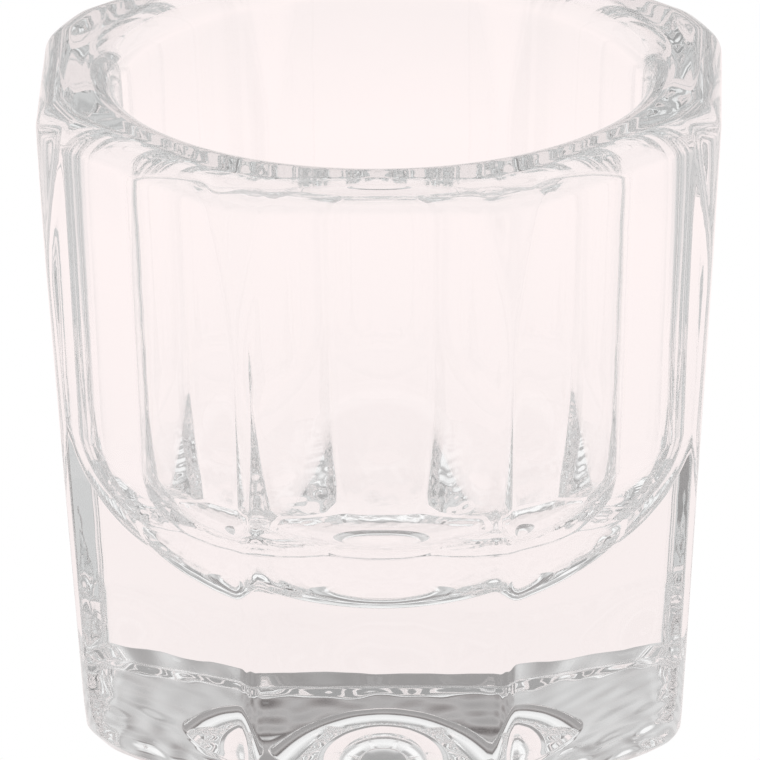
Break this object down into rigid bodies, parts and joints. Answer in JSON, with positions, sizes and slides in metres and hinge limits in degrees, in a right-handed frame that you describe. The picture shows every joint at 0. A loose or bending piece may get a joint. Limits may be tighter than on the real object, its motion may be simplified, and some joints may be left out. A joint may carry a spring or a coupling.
{
  "type": "glass dappen dish",
  "caption": "Small clear glass cup with eight flat tapered sides, a round bowl with a rounded bottom and a thick base, for dipping a nail brush.",
  "frame": {"origin": "middle of the foot, on the surface that the cup stands on", "axes": "+Z along the cup's axis, up through the bowl; one flat side faces -Y"},
  "size_m": [0.0358, 0.0358, 0.0363],
  "materials": {
    "clear_glass": "gloss"
  },
  "bodies": {
    "root": {"glass_cup": "clear_glass"}
  },
  "joints": []
}
